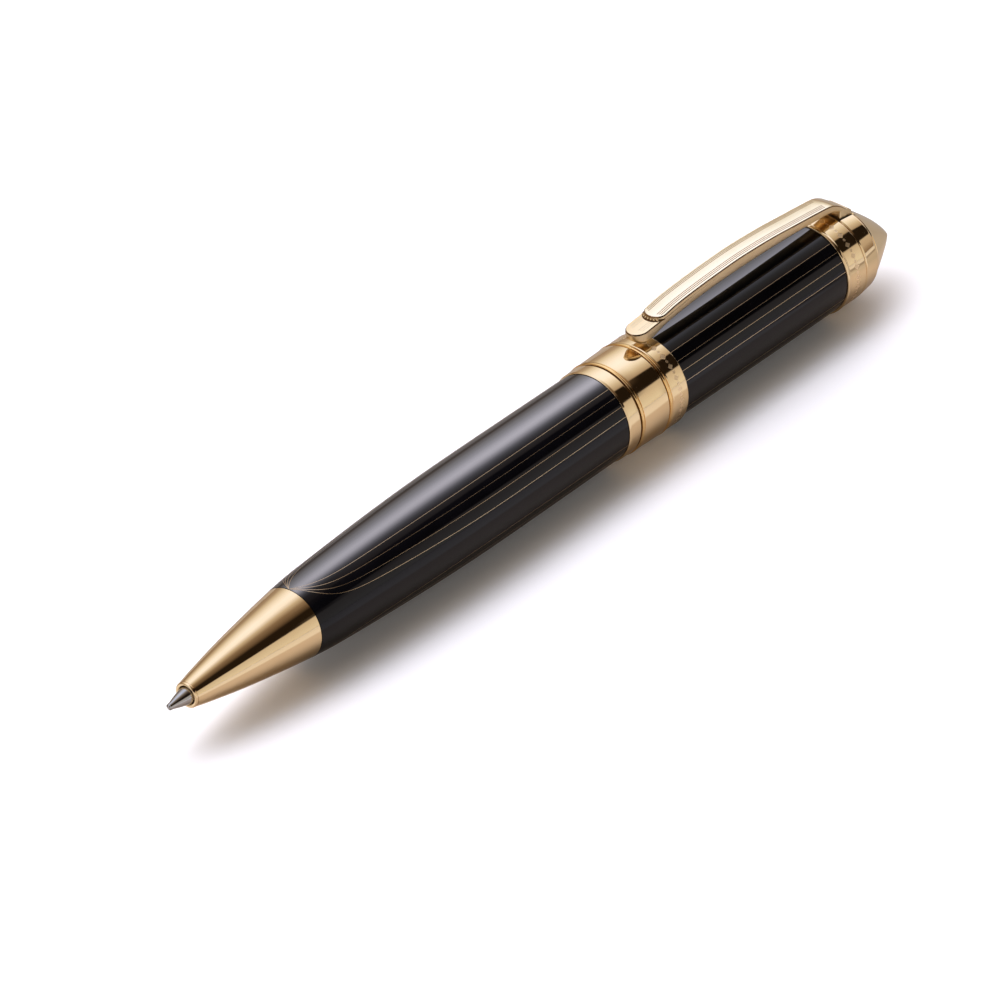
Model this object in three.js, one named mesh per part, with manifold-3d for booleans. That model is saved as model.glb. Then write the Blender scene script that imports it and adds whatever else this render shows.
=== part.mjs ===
// A slim twist-action pen: a gold nose and rings, two black barrels, a clip and a roof-shaped finial.
// Millimetres, +Z up. The pen lies along X with its point towards -X and its clip on top (+Z).
// Stations are measured along the pen from the centre of the writing ball, towards the finial.
import * as THREE from 'three';
import { mergeVertices } from 'three/addons/utils/BufferGeometryUtils.js';
import Module from 'manifold-3d';

const wasm = await Module();
wasm.setup();

// ---- driving dimensions ----
const BALL_R = 0.35;              // writing ball
const RIDGE_S = 132.7;            // station of the finial's ridge
const SIDES = 28;                 // facets round every turned part
const RING_R = 6.3;               // the largest turned radius: the rings the pen lies on
const FIT = 0.05;                 // radial gap of a fixed fit between turned parts
const RUN = 0.1;                  // radial gap of a turning or sliding fit
const SEAM = 0.05;                // gap along the pen between pieces that meet

const TIP_BORE_R = 1.32;          // nose bore round the refill's tip
const TIP_R = 1.17;               // refill tip shank
const NECK_R = 1.5;               // refill neck inside the return spring
const REFILL_R = 2.95;            // refill body
const REFILL_SHOULDER_S = 20.8;   // front of the refill body
const REFILL_END_S = 97.6;        // rear end of the refill
const TRAVEL = 6;                 // how far the point draws back

const LIP_S = 2.75;               // front lip of the nose
const NOSE_END_S = 21.3;          // nose cone meets the lower barrel
const NOSE_THREAD_R = 3.9;        // thread boss of the nose inside the barrel
const NOSE_THREAD_END_S = 27.5;
const CAVITY_R = 3.35;            // bore of the nose behind the spring
const SPRING_SEAT_S = 9.2;        // shoulder the spring pushes on

const LOWER_END_S = 76.45;        // lower barrel meets the front trim ring
const FRONT_RING_END_S = 78.6;
const WASHER_END_S = 79.25;       // the turning line of the pen lies on this washer
const BAND_END_S = 84.0;
const WIRE_END_S = 84.6;
const REAR_RING_END_S = 87.6;
const UPPER_END_S = 119.25;       // upper barrel meets the clip ring
const CLIP_RING_END_S = 123.1;
const CROWN_END_S = 126.4;

const BARREL_BORE_R = 5.1;        // bore of both barrels where the inner parts sit
const CARRIER_R = BARREL_BORE_R - FIT;
const HOUSING_R = 4.05;           // twist mechanism's inner housing
const HOUSING_BORE_R = 3.4;
const THREAD_R = 4.3;             // thread that holds the lower barrel on
const THREAD_START_S = 66.3;
const BUSH_START_S = 64;
const CARRIER_END_S = 94.8;
const CAM_START_S = 95;
const CAM_END_S = 111.5;
const HOUSING_END_S = 110.6;
const PIN_S = 101.2;              // cross pin's station with the point out
const PIN_R = 0.8;
const STUD_R = 1.5;

const CLIP_HALF = 1.5;            // half the clip's width
const NOTCH_HALF = 1.75;          // half the width of the crown's notch
const PIVOT_S = 124.1;
const PIVOT_H = 4.7;              // pivot height over the pen's axis
const PIVOT_R = 0.42;

// ---- the frame: the origin is under the pen's middle, on the surface it lies on ----
const MID_S = (RIDGE_S - BALL_R) / 2;
const AXIS_Z = RING_R * Math.cos(Math.PI / SIDES);

// ---- materials ----
const metal = (color, roughness) => new THREE.MeshStandardMaterial({ color, roughness, metalness: 1 });
const GOLD = metal(0xe0c595, 0.15);
const BRASS = metal(0xb8924e, 0.35);
const STEEL = metal(0xb9bbbf, 0.25);
const LACQUER = new THREE.MeshStandardMaterial({ color: 0x08080a, roughness: 0.08, metalness: 0 });
const PLASTIC = new THREE.MeshStandardMaterial({ color: 0x2a2b2e, roughness: 0.5, metalness: 0 });
const RUBBER = new THREE.MeshStandardMaterial({ color: 0x151515, roughness: 0.9, metalness: 0 });

const pen = new THREE.Group();

// ---- helpers ----

// Adds a named piece whose geometry is already in the pen's frame.
function add(name, geometry, material) {
  const mesh = new THREE.Mesh(geometry, material);
  mesh.name = name;
  pen.add(mesh);
  return mesh;
}

// Turns geometry drawn round +Y into the pen's frame: +Y becomes +X, a facet faces straight down.
function alongPen(geometry, sides) {
  geometry.rotateY(Math.PI / sides);
  geometry.rotateZ(-Math.PI / 2);
  geometry.translate(-MID_S, 0, AXIS_Z);
  return geometry;
}

// A turned part from [station, radius] points, listed from the front: first the outside, then
// back along the bore. The profile closes on itself, or on the axis if it starts and ends there.
function turned(profile, sides = SIDES) {
  const points = profile.map(([s, r]) => new THREE.Vector2(r, s));
  const closed = profile[0][1] > 0;
  if (closed) points.push(points[0].clone());
  return alongPen(new THREE.LatheGeometry(points, sides), sides);
}

// A plain tube between two stations, with a small chamfer on its outer edges.
function sleeve(from, to, bore, radius, chamfer = 0.1) {
  return turned([
    [from, bore], [from, radius - chamfer], [from + chamfer, radius],
    [to - chamfer, radius], [to, radius - chamfer], [to, bore],
  ]);
}

// A closed geometry as a solid that can be cut and joined.
function toSolid(geometry) {
  const bare = geometry.clone();
  for (const name of Object.keys(bare.attributes)) if (name !== 'position') bare.deleteAttribute(name);
  const merged = mergeVertices(bare, 1e-4);
  return new wasm.Manifold(new wasm.Mesh({
    numProp: 3,
    vertProperties: new Float32Array(merged.attributes.position.array),
    triVerts: new Uint32Array(merged.index.array),
  }));
}

// A solid back as three.js geometry.
function toGeometry(solid) {
  const mesh = solid.getMesh();
  const geometry = new THREE.BufferGeometry();
  geometry.setAttribute('position', new THREE.BufferAttribute(new Float32Array(mesh.vertProperties), 3));
  geometry.setIndex(new THREE.BufferAttribute(new Uint32Array(mesh.triVerts), 1));
  geometry.computeVertexNormals();
  return geometry;
}

// The first geometry with each of the others cut away.
function cut(geometry, ...tools) {
  let solid = toSolid(geometry);
  for (const tool of tools) solid = solid.subtract(toSolid(tool));
  return toGeometry(solid);
}

// A box between two stations, two y values and two heights over the pen's axis.
function block(from, to, left, right, low, high) {
  const box = new THREE.BoxGeometry(to - from, right - left, high - low);
  box.translate((from + to) / 2 - MID_S, (left + right) / 2, AXIS_Z + (low + high) / 2);
  return box;
}

// A round bar along Y at a station and a height over the axis.
function crossBar(s, height, radius, half, sides = 16) {
  const bar = new THREE.CylinderGeometry(radius, radius, 2 * half, sides);
  bar.translate(s - MID_S, 0, AXIS_Z + height);
  return bar;
}

// ---- the refill ----

// The ball turns in the socket at the end of the tip.
function buildBall() {
  const ball = new THREE.SphereGeometry(BALL_R, 16, 10);
  ball.translate(-MID_S, 0, AXIS_Z);
  add('writing_ball', ball, STEEL);
}

// Steel tip: a cone with the ball's socket in front, a shank, and a collar pressed into the refill.
function buildTip() {
  const mouth = -0.16;
  const socket = BALL_R + 0.03;
  add('refill_tip', turned([
    [mouth, BALL_R - 0.01], [mouth, 0.4], [0.3, 0.48], [1.5, 0.8], [3, 1.1], [4.2, TIP_R],
    [SPRING_SEAT_S, TIP_R], [SPRING_SEAT_S + 0.8, NECK_R], [REFILL_SHOULDER_S - 0.5, NECK_R], [REFILL_SHOULDER_S - 0.5, 2.2],
    [REFILL_SHOULDER_S, 2.2], [REFILL_SHOULDER_S, NECK_R], [24, NECK_R], [24, 0.6],
    [2, 0.6], [1, 0.25], [0.45, 0.25], [0.2, socket], [-0.05, socket],
  ], 16), STEEL);
}

// Metal ink tube, open at the rear, with a rounded shoulder that the spring pushes on.
function buildRefillTube() {
  const wall = 0.25;
  add('refill_tube', turned([
    [REFILL_SHOULDER_S + SEAM, NECK_R + FIT], [REFILL_SHOULDER_S + SEAM, REFILL_R - 0.4],
    [REFILL_SHOULDER_S + 0.5, REFILL_R], [REFILL_END_S - 4, REFILL_R],
    [REFILL_END_S - 4, REFILL_R - wall], [25, REFILL_R - wall], [24, NECK_R + FIT],
  ], 24), BRASS);
}

// Moulded plug that closes the ink tube, with two crossing vent slots in its rear face.
function buildEndPlug() {
  const inside = REFILL_END_S - 8;
  const flange = REFILL_END_S - 4 + SEAM;
  const plug = turned([
    [inside, 0], [inside, 2.3], [inside + 0.5, 2.6], [flange, 2.6], [flange, REFILL_R],
    [REFILL_END_S - 0.4, REFILL_R], [REFILL_END_S, REFILL_R - 0.4], [REFILL_END_S, 0],
  ], 24);
  const slotDepth = REFILL_END_S - 1.5;
  const across = block(slotDepth, REFILL_END_S + 1, -4, 4, -0.4, 0.4);
  const upright = block(slotDepth, REFILL_END_S + 1, -0.4, 0.4, -4, 4);
  add('refill_end_plug', cut(plug, across, upright), PLASTIC);
}

// Return spring: round wire wound between the nose's shoulder and the refill's collar.
class Coil extends THREE.Curve {
  constructor(from, to, radius, turns) {
    super();
    Object.assign(this, { from, to, radius, turns });
  }

  getPoint(t, target = new THREE.Vector3()) {
    const angle = 2 * Math.PI * this.turns * t;
    const s = this.from + (this.to - this.from) * t;
    return target.set(s - MID_S, this.radius * Math.cos(angle), AXIS_Z + this.radius * Math.sin(angle));
  }
}

function buildSpring() {
  const wire = 0.17;
  const turns = 8;
  const path = new Coil(SPRING_SEAT_S + 0.3, REFILL_SHOULDER_S - 0.8, 1.95, turns);
  const section = new THREE.Shape();
  section.absarc(0, 0, wire, 0, 2 * Math.PI, false);
  const options = { steps: turns * 8, curveSegments: 3, bevelEnabled: false, extrudePath: path };
  add('return_spring', new THREE.ExtrudeGeometry(section, options), STEEL);
}

// ---- the lower half ----

// Gold nose: a slightly bellied cone with a rolled lip, and a thread boss behind it.
function buildNose() {
  add('nose_cone', turned([
    [LIP_S, TIP_BORE_R], [LIP_S, 1.55], [LIP_S + 0.15, 1.68], [4.5, 1.98], [6, 2.25], [9, 2.82],
    [12, 3.31], [15, 3.75], [18, 4.17], [NOSE_END_S, 4.58], [NOSE_END_S, NOSE_THREAD_R],
    [NOSE_THREAD_END_S, NOSE_THREAD_R], [NOSE_THREAD_END_S, CAVITY_R], [17, CAVITY_R],
    [16, 2.35], [SPRING_SEAT_S, 2.35], [SPRING_SEAT_S, TIP_BORE_R],
  ]), GOLD);
}

// Black lower barrel: a brass tube under lacquer that swells from the nose to the middle.
function buildLowerBarrel() {
  add('lower_barrel', turned([
    [NOSE_END_S + SEAM, NOSE_THREAD_R + FIT], [NOSE_END_S + SEAM, 4.6], [24, 4.86], [27, 5.06],
    [31, 5.27], [36, 5.5], [42, 5.73], [48, 5.88], [54, 5.94], [62, 5.93], [LOWER_END_S, 5.87],
    [LOWER_END_S, BARREL_BORE_R], [BUSH_START_S - 0.2, BARREL_BORE_R], [BUSH_START_S - 0.2, 4.5],
    [28.5, 4.5], [28, NOSE_THREAD_R + FIT],
  ]), LACQUER);
}

// Brass bush in the lower barrel: its thread holds the whole lower half on the mechanism.
function buildBush() {
  add('barrel_thread_bush', turned([
    [BUSH_START_S, 4.6], [BUSH_START_S, CARRIER_R], [FRONT_RING_END_S - 0.3, CARRIER_R],
    [FRONT_RING_END_S - 0.3, THREAD_R + RUN], [66, THREAD_R + RUN], [65.6, 4.6],
  ]), BRASS);
}

function buildFrontRing() {
  add('front_trim_ring', turned([
    [LOWER_END_S + SEAM, BARREL_BORE_R], [LOWER_END_S + SEAM, 5.95], [76.8, 6.04],
    [78.3, 6.08], [FRONT_RING_END_S, 5.95], [FRONT_RING_END_S, BARREL_BORE_R],
  ]), GOLD);
}

// ---- the twist mechanism ----

// Beaded washer on the turning line, between the two halves of the pen.
function buildWasher() {
  const from = FRONT_RING_END_S + SEAM;
  add('turning_washer', turned([
    [from, HOUSING_R + FIT], [from, 5.6], [from + 0.12, 6.05], [from + 0.24, 6.2],
    [from + 0.36, 6.2], [from + 0.48, 6.05], [WASHER_END_S, 5.6], [WASHER_END_S, HOUSING_R + FIT],
  ]), GOLD);
}

// Inner housing: threaded nose for the lower barrel, a groove for the friction ring and two
// straight slots that keep the follower's pin from turning in it.
function buildHousing() {
  const slotHalf = PIN_R + RUN;
  const tube = turned([
    [THREAD_START_S, HOUSING_BORE_R], [THREAD_START_S, THREAD_R - 0.25],
    [THREAD_START_S + 0.3, THREAD_R], [78.3, THREAD_R], [78.3, HOUSING_R], [90, HOUSING_R],
    [90, 3.75], [91, 3.75], [91, HOUSING_R], [HOUSING_END_S, HOUSING_R],
    [HOUSING_END_S, HOUSING_BORE_R],
  ]);
  const slots = block(PIN_S - slotHalf, PIN_S + TRAVEL + slotHalf, -6, 6, -slotHalf, slotHalf);
  add('mechanism_housing', cut(tube, slots), BRASS);
}

// Rubber ring that gives the twist its drag.
function buildFrictionRing() {
  add('friction_ring', sleeve(90.1, 90.9, 3.75 + FIT, HOUSING_R + 0.07), RUBBER);
}

// A straight bar bent along the cam's screw line: its x runs round the sleeve, its y along the pen
// and its z outwards. It cuts one helical slot through the cam sleeve.
function helicalCutter(startAngle) {
  const over = 0.26;              // how far the slot runs past the pin's ends, in radians
  const lead = TRAVEL / Math.PI;
  const bar = new THREE.BoxGeometry(1, 2 * (PIN_R + 0.2), 3, 16, 1, 1);
  const position = bar.attributes.position;
  for (let i = 0; i < position.count; i += 1) {
    const turn = THREE.MathUtils.lerp(-over, Math.PI + over, position.getX(i) + 0.5);
    const held = THREE.MathUtils.clamp(turn, 0, Math.PI);
    const radius = (HOUSING_R + CARRIER_R) / 2 + position.getZ(i);
    const s = PIN_S + held * lead + position.getY(i);
    const angle = startAngle + turn;
    position.setXYZ(i, s - MID_S, radius * Math.cos(angle), AXIS_Z + radius * Math.sin(angle));
  }
  return bar;
}

// Cam sleeve, fixed in the upper barrel: turning it drives the pin along its two screw slots.
function buildCamSleeve() {
  const tube = sleeve(CAM_START_S, CAM_END_S, HOUSING_R + RUN, CARRIER_R);
  add('cam_sleeve', cut(tube, helicalCutter(0), helicalCutter(Math.PI)), BRASS);
}

// Follower that pushes and pulls the refill, drilled across for its pin.
function buildFollower() {
  const from = REFILL_END_S + SEAM;
  const body = turned([
    [from, 0], [from, HOUSING_BORE_R - RUN], [103.3, HOUSING_BORE_R - RUN], [103.3, 0],
  ], 24);
  add('follower', cut(body, crossBar(PIN_S, 0, PIN_R + FIT, 5, 24)), PLASTIC);
  add('follower_pin', crossBar(PIN_S, 0, PIN_R, 4.9, 20), STEEL);
}

// Plug that closes the housing behind the follower.
function buildEndCap() {
  const outer = HOUSING_END_S + SEAM;
  add('mechanism_end_cap', turned([
    [HOUSING_END_S - 1, 0], [HOUSING_END_S - 1, HOUSING_BORE_R - FIT],
    [outer, HOUSING_BORE_R - FIT], [outer, HOUSING_R], [112.8, HOUSING_R - 0.3], [112.8, 0],
  ]), BRASS);
}

// ---- the upper half ----

// Brass tube pressed into the upper barrel; the trim rings sit on its front.
function buildCarrier() {
  const bore = HOUSING_R + 0.2;
  add('ring_carrier', sleeve(WASHER_END_S + 0.1, CARRIER_END_S, bore, CARRIER_R), BRASS);
}

// Wide plain band, the wire ring behind it, and the engraved ring that meets the barrel.
function buildCentreRings() {
  add('centre_band', turned([
    [WASHER_END_S + 0.1, BARREL_BORE_R], [WASHER_END_S + 0.1, 5.95], [79.6, 6.13],
    [83.7, RING_R], [BAND_END_S, 6.2], [BAND_END_S, BARREL_BORE_R],
  ]), GOLD);
  add('wire_ring', turned([
    [BAND_END_S + SEAM, BARREL_BORE_R], [BAND_END_S + SEAM, 6.12], [84.2, RING_R],
    [84.45, RING_R], [WIRE_END_S, 6.12], [WIRE_END_S, BARREL_BORE_R],
  ]), GOLD);
  add('rear_trim_ring', turned([
    [WIRE_END_S + SEAM, BARREL_BORE_R], [WIRE_END_S + SEAM, 6.15], [84.85, RING_R],
    [87.35, RING_R], [REAR_RING_END_S, 6.1], [REAR_RING_END_S, BARREL_BORE_R],
  ]), GOLD);
}

function buildUpperBarrel() {
  add('upper_barrel', turned([
    [REAR_RING_END_S + SEAM, BARREL_BORE_R], [REAR_RING_END_S + SEAM, 5.88], [98, 5.93],
    [109, 5.98], [UPPER_END_S, 6], [UPPER_END_S, BARREL_BORE_R],
  ]), LACQUER);
}

// Brass plug in the rear of the upper barrel: the clip ring sits on its boss, the stud screws in.
function buildRearPlug() {
  add('rear_plug', turned([
    [113.2, STUD_R + FIT], [113.2, CARRIER_R], [UPPER_END_S - SEAM, CARRIER_R],
    [UPPER_END_S - SEAM, 3.2], [CLIP_RING_END_S - 0.1, 3.2], [CLIP_RING_END_S - 0.1, STUD_R + FIT],
  ]), BRASS);
}

// Engraved ring at the top of the barrel, with a raised lip at its front.
function buildClipRing() {
  add('clip_ring', turned([
    [UPPER_END_S + SEAM, 3.2 + FIT], [UPPER_END_S + SEAM, 6.2], [119.4, RING_R],
    [119.9, RING_R], [120.05, 6.25], [122.7, 6.25], [CLIP_RING_END_S - 0.05, 6.1],
    [CLIP_RING_END_S - 0.05, 3.2 + FIT],
  ]), GOLD);
}

// Crown: a tapering ring with the clip's notch on top and a groove in its front for the pivot pin.
function buildCrown() {
  const ring = turned([
    [CLIP_RING_END_S, STUD_R + FIT], [CLIP_RING_END_S, 6.08], [123.35, 6.2], [124.8, 6.02],
    [126.1, 5.72], [CROWN_END_S, 5.55], [CROWN_END_S, STUD_R + FIT],
  ]);
  const notch = block(CLIP_RING_END_S - 1, 126.15, -NOTCH_HALF, NOTCH_HALF, 3.3, 8);
  const halfGroove = 3.25;
  const groove = crossBar(PIVOT_S, PIVOT_H, PIVOT_R + FIT, halfGroove);
  const reach = PIVOT_R + FIT;
  const entry = block(122, PIVOT_S, -halfGroove, halfGroove, PIVOT_H - reach, PIVOT_H + reach);
  add('crown_ring', cut(ring, notch, groove, entry), GOLD);
}

// The finial: a round base drawn up into a short straight ridge that lies across the clip's plane.
function buildFinial() {
  const baseS = CROWN_END_S + SEAM;
  const baseR = 5.55;
  const ridgeHalf = 2;
  const levels = 8;
  const profile = [[baseS, 0], [baseS, baseR]];
  for (let i = 1; i < levels; i += 1) {
    profile.push([baseS + (RIDGE_S - baseS) * i / levels, baseR * (1 - i / levels)]);
  }
  profile.push([RIDGE_S, 0.02], [RIDGE_S, 0]);
  const geometry = turned(profile);
  const position = geometry.attributes.position;
  for (let i = 0; i < position.count; i += 1) {
    const rise = (position.getX(i) + MID_S - baseS) / (RIDGE_S - baseS);
    const y = position.getY(i);
    const z = position.getZ(i) - AXIS_Z;
    const radius = Math.hypot(y, z);
    if (radius < 1e-6) continue;
    const spread = ridgeHalf * rise * y / radius;
    const belly = 1 + 0.18 * Math.sin(Math.PI * rise);
    position.setY(i, y * belly + spread);
    position.setZ(i, AXIS_Z + z * belly);
  }
  const bore = turned([[baseS - 1, 0], [baseS - 1, STUD_R + FIT], [129.2, STUD_R + FIT], [129.2, 0]]);
  add('finial', cut(geometry, bore), GOLD);
  add('finial_stud', turned([
    [114, 0], [114, STUD_R - 0.3], [114.3, STUD_R], [129, STUD_R], [129, 0],
  ], 20), STEEL);
}

// ---- the clip ----

// The clip seen from the side, as an outline of [station, height over the axis] points.
function clipOutline() {
  const shape = new THREE.Shape();
  shape.moveTo(84.1, 7.25);
  shape.quadraticCurveTo(83.6, 7.9, 84.3, 8.45);
  shape.lineTo(87.3, 8.75);
  shape.lineTo(87.5, 9.2);
  shape.bezierCurveTo(94, 10.25, 105, 10.65, 115, 9.55);
  shape.bezierCurveTo(119.5, 9.1, 122.3, 8.7, 123.6, 7.75);
  shape.quadraticCurveTo(125.3, 6.7, 125.9, 5.95);
  shape.lineTo(125.75, 4.3);
  shape.lineTo(125, 3.9);
  shape.lineTo(123.5, 3.9);
  shape.lineTo(123.3, 4.6);
  shape.lineTo(123.5, 6.75);
  shape.quadraticCurveTo(121.5, 7.5, 118.7, 7.8);
  shape.bezierCurveTo(112, 8.55, 96, 8.75, 88.3, 7.5);
  shape.lineTo(86.6, 6.95);
  shape.lineTo(85.2, 6.95);
  shape.closePath();
  return shape;
}

// The clip is one curved bar whose foot turns on a pin in the crown's notch.
function buildClip() {
  const bar = new THREE.ExtrudeGeometry(clipOutline(), {
    depth: 2 * CLIP_HALF, curveSegments: 12, bevelEnabled: false,
  });
  bar.rotateX(Math.PI / 2);
  bar.translate(-MID_S, CLIP_HALF, AXIS_Z);
  add('clip', cut(bar, crossBar(PIVOT_S, PIVOT_H, PIVOT_R + FIT, 4)), GOLD);
  add('clip_pivot_pin', crossBar(PIVOT_S, PIVOT_H, PIVOT_R, 3.15), STEEL);
  add('clip_leaf_spring', block(123.4, 126, -1.2, 1.2, 3.35, 3.55), STEEL);
}

buildBall();
buildTip();
buildRefillTube();
buildEndPlug();
buildSpring();
buildNose();
buildLowerBarrel();
buildBush();
buildFrontRing();
buildWasher();
buildHousing();
buildFrictionRing();
buildCamSleeve();
buildFollower();
buildEndCap();
buildCarrier();
buildCentreRings();
buildUpperBarrel();
buildRearPlug();
buildClipRing();
buildCrown();
buildFinial();
buildClip();

export default pen;
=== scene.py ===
"""A slim twist-action pen lying on a white table, its point out and its clip on top.

The pen lies along X with its point towards -X. Stations run along it from the centre of the
writing ball, in millimetres; radii are in millimetres too. Angles go round the pen from the top
(+Z) towards -Y.
"""
import math

import bmesh
import bpy
from mathutils import Matrix, Vector


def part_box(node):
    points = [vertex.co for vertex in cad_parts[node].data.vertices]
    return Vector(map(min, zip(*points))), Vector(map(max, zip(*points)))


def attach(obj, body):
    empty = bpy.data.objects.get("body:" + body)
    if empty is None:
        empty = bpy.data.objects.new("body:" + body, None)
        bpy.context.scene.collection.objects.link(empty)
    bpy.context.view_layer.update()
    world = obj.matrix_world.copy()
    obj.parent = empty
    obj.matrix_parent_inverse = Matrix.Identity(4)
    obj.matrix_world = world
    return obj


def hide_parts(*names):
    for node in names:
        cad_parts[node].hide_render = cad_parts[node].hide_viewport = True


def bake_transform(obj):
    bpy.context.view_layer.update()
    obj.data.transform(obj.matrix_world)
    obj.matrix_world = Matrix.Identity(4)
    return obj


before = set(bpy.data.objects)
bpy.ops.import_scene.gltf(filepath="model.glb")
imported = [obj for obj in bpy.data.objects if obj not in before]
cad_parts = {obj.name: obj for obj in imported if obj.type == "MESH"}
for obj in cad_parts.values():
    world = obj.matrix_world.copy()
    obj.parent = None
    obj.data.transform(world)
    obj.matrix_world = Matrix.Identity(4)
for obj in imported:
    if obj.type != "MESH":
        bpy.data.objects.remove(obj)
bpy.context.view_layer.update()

MM = 0.001

# ---- the frame's own places ----
ball_low, ball_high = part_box("writing_ball")
barrel_low, barrel_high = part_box("upper_barrel")
START_X = (ball_low[0] + ball_high[0]) / 2
AXIS_Z = (barrel_low[2] + barrel_high[2]) / 2


def station(x):
    """The station of a frame x, in millimetres."""
    return (x - START_X) / MM


def point(s, radius, angle):
    """A point from its station, its radius and its angle round the pen from the top, towards -Y."""
    return Vector((
        START_X + s * MM,
        -radius * MM * math.sin(angle),
        AXIS_Z + radius * MM * math.cos(angle),
    ))


def side_point(s, across, height):
    """A point from its station, its y in millimetres and its height over the pen's axis."""
    return Vector((START_X + s * MM, across * MM, AXIS_Z + height * MM))


# ---- materials ----

def new_material(name, color, metallic, roughness):
    """A Principled material and its node tree, with the plain values set on the shader."""
    material = bpy.data.materials.new(name)
    material.use_nodes = True
    shader = material.node_tree.nodes["Principled BSDF"]
    shader.inputs["Base Color"].default_value = (*color, 1)
    shader.inputs["Metallic"].default_value = metallic
    shader.inputs["Roughness"].default_value = roughness
    return material, material.node_tree, shader


def noise(tree, scale, detail=2.0, stretch=(1, 1, 1)):
    """Object-space noise in metres, with a scale per metre and a stretch along each axis."""
    place = tree.nodes.new("ShaderNodeTexCoord")
    mapping = tree.nodes.new("ShaderNodeMapping")
    mapping.inputs["Scale"].default_value = stretch
    texture = tree.nodes.new("ShaderNodeTexNoise")
    texture.inputs["Scale"].default_value = scale
    texture.inputs["Detail"].default_value = detail
    tree.links.new(place.outputs["Object"], mapping.inputs["Vector"])
    tree.links.new(mapping.outputs["Vector"], texture.inputs["Vector"])
    return texture.outputs["Fac"]


def ramp(tree, value, low, high, low_value, high_value):
    """A value mapped from low..high to low_value..high_value."""
    node = tree.nodes.new("ShaderNodeMapRange")
    node.inputs["From Min"].default_value = low
    node.inputs["From Max"].default_value = high
    node.inputs["To Min"].default_value = low_value
    node.inputs["To Max"].default_value = high_value
    tree.links.new(value, node.inputs["Value"])
    return node.outputs["Result"]


def tint(tree, value, first, second):
    """A colour that goes from first to second as value goes from 0 to 1."""
    node = tree.nodes.new("ShaderNodeMix")
    node.data_type = "RGBA"
    node.inputs["A"].default_value = (*first, 1)
    node.inputs["B"].default_value = (*second, 1)
    tree.links.new(value, node.inputs["Factor"])
    return node.outputs["Result"]


def bump(tree, shader, value, strength, depth):
    """Small relief from a value, depth in metres."""
    node = tree.nodes.new("ShaderNodeBump")
    node.inputs["Strength"].default_value = strength
    node.inputs["Distance"].default_value = depth
    tree.links.new(value, node.inputs["Height"])
    tree.links.new(node.outputs["Normal"], shader.inputs["Normal"])


def metal(name, color, shade, roughness, spread, hairline=0.03, stretch=(0.15, 1, 1)):
    """A plated or turned metal: slow changes of colour and gloss, and fine hairlines."""
    material, tree, shader = new_material(name, color, 1, roughness)
    cloud = ramp(tree, noise(tree, 220), 0.35, 0.65, 0, 1)
    tree.links.new(tint(tree, cloud, color, shade), shader.inputs["Base Color"])
    polish = noise(tree, 900, 4, stretch)
    gloss = ramp(tree, polish, 0.3, 0.7, roughness, roughness + spread)
    tree.links.new(gloss, shader.inputs["Roughness"])
    bump(tree, shader, noise(tree, 5200, 3, stretch), hairline, 0.00002)
    return material


def lacquer_material():
    """Deep black glossy lacquer, with a faint orange peel and small changes of depth and gloss."""
    material, tree, shader = new_material("black_lacquer", (0.0016, 0.0016, 0.0021), 0, 0.05)
    shader.inputs["IOR"].default_value = 1.5
    shader.inputs["Specular IOR Level"].default_value = 0.26
    shader.inputs["Specular Tint"].default_value = (1.0, 0.965, 1.0, 1)
    depth = ramp(tree, noise(tree, 160), 0.3, 0.7, 0, 1)
    tree.links.new(tint(tree, depth, (0.0012, 0.0012, 0.0017), (0.0024, 0.0023, 0.003)),
                   shader.inputs["Base Color"])
    marks = noise(tree, 2600, 5, (0.4, 1, 1))
    tree.links.new(ramp(tree, marks, 0.35, 0.75, 0.045, 0.09), shader.inputs["Roughness"])
    bump(tree, shader, noise(tree, 420, 1), 0.02, 0.00003)
    return material


def plastic_material(name, color, roughness):
    """Moulded plastic with a fine grain."""
    material, tree, shader = new_material(name, color, 0, roughness)
    grain = noise(tree, 3000, 3)
    lighter = tuple(min(1, c * 1.4 + 0.01) for c in color)
    tree.links.new(tint(tree, grain, color, lighter), shader.inputs["Base Color"])
    tree.links.new(ramp(tree, grain, 0.3, 0.7, roughness - 0.08, roughness + 0.08),
                   shader.inputs["Roughness"])
    bump(tree, shader, grain, 0.15, 0.00003)
    return material


GOLD = metal("pale_gold", (0.912, 0.702, 0.415), (0.897, 0.68, 0.389), 0.045, 0.04)
# Satin gold for the clip's sides, its foot and the pad's grooves: the satin gloss is real, its colour
# darker than the plain gold as painted shade.
GOLD_SATIN_SHADED = metal("satin_gold_shaded", (0.77, 0.607, 0.37), (0.74, 0.577, 0.345), 0.28, 0.05, 0.03,
                   (0.1, 1, 1))
# A lighter gold for the top of the clip's leaf: painted highlight.
GOLD_LEAF_HIGHLIGHT = metal("leaf_gold_painted_highlight", (0.98, 0.845, 0.59), (0.965, 0.82, 0.56), 0.12, 0.04, 0.02, (0.1, 1, 1))
# Dark gold for the floors of the clip leaf's fine grooves: painted shade in the grooves.
GOLD_GROOVE_SHADE = metal("gold_groove_painted_shade", (0.34, 0.17, 0.055), (0.28, 0.14, 0.045), 0.3, 0.1)
# Dark gold for the clip's bevelled top edges: a painted dark reflection that draws their thin dark edge
# line.
GOLD_EDGE_DARK_REFLECTION = metal("gold_bevel_painted_reflection", (0.40, 0.25, 0.12), (0.34, 0.21, 0.10), 0.2, 0.08)
GOLD_WIRE = metal("red_gold_wire", (0.93, 0.64, 0.30), (0.90, 0.60, 0.26), 0.07, 0.05)
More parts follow.
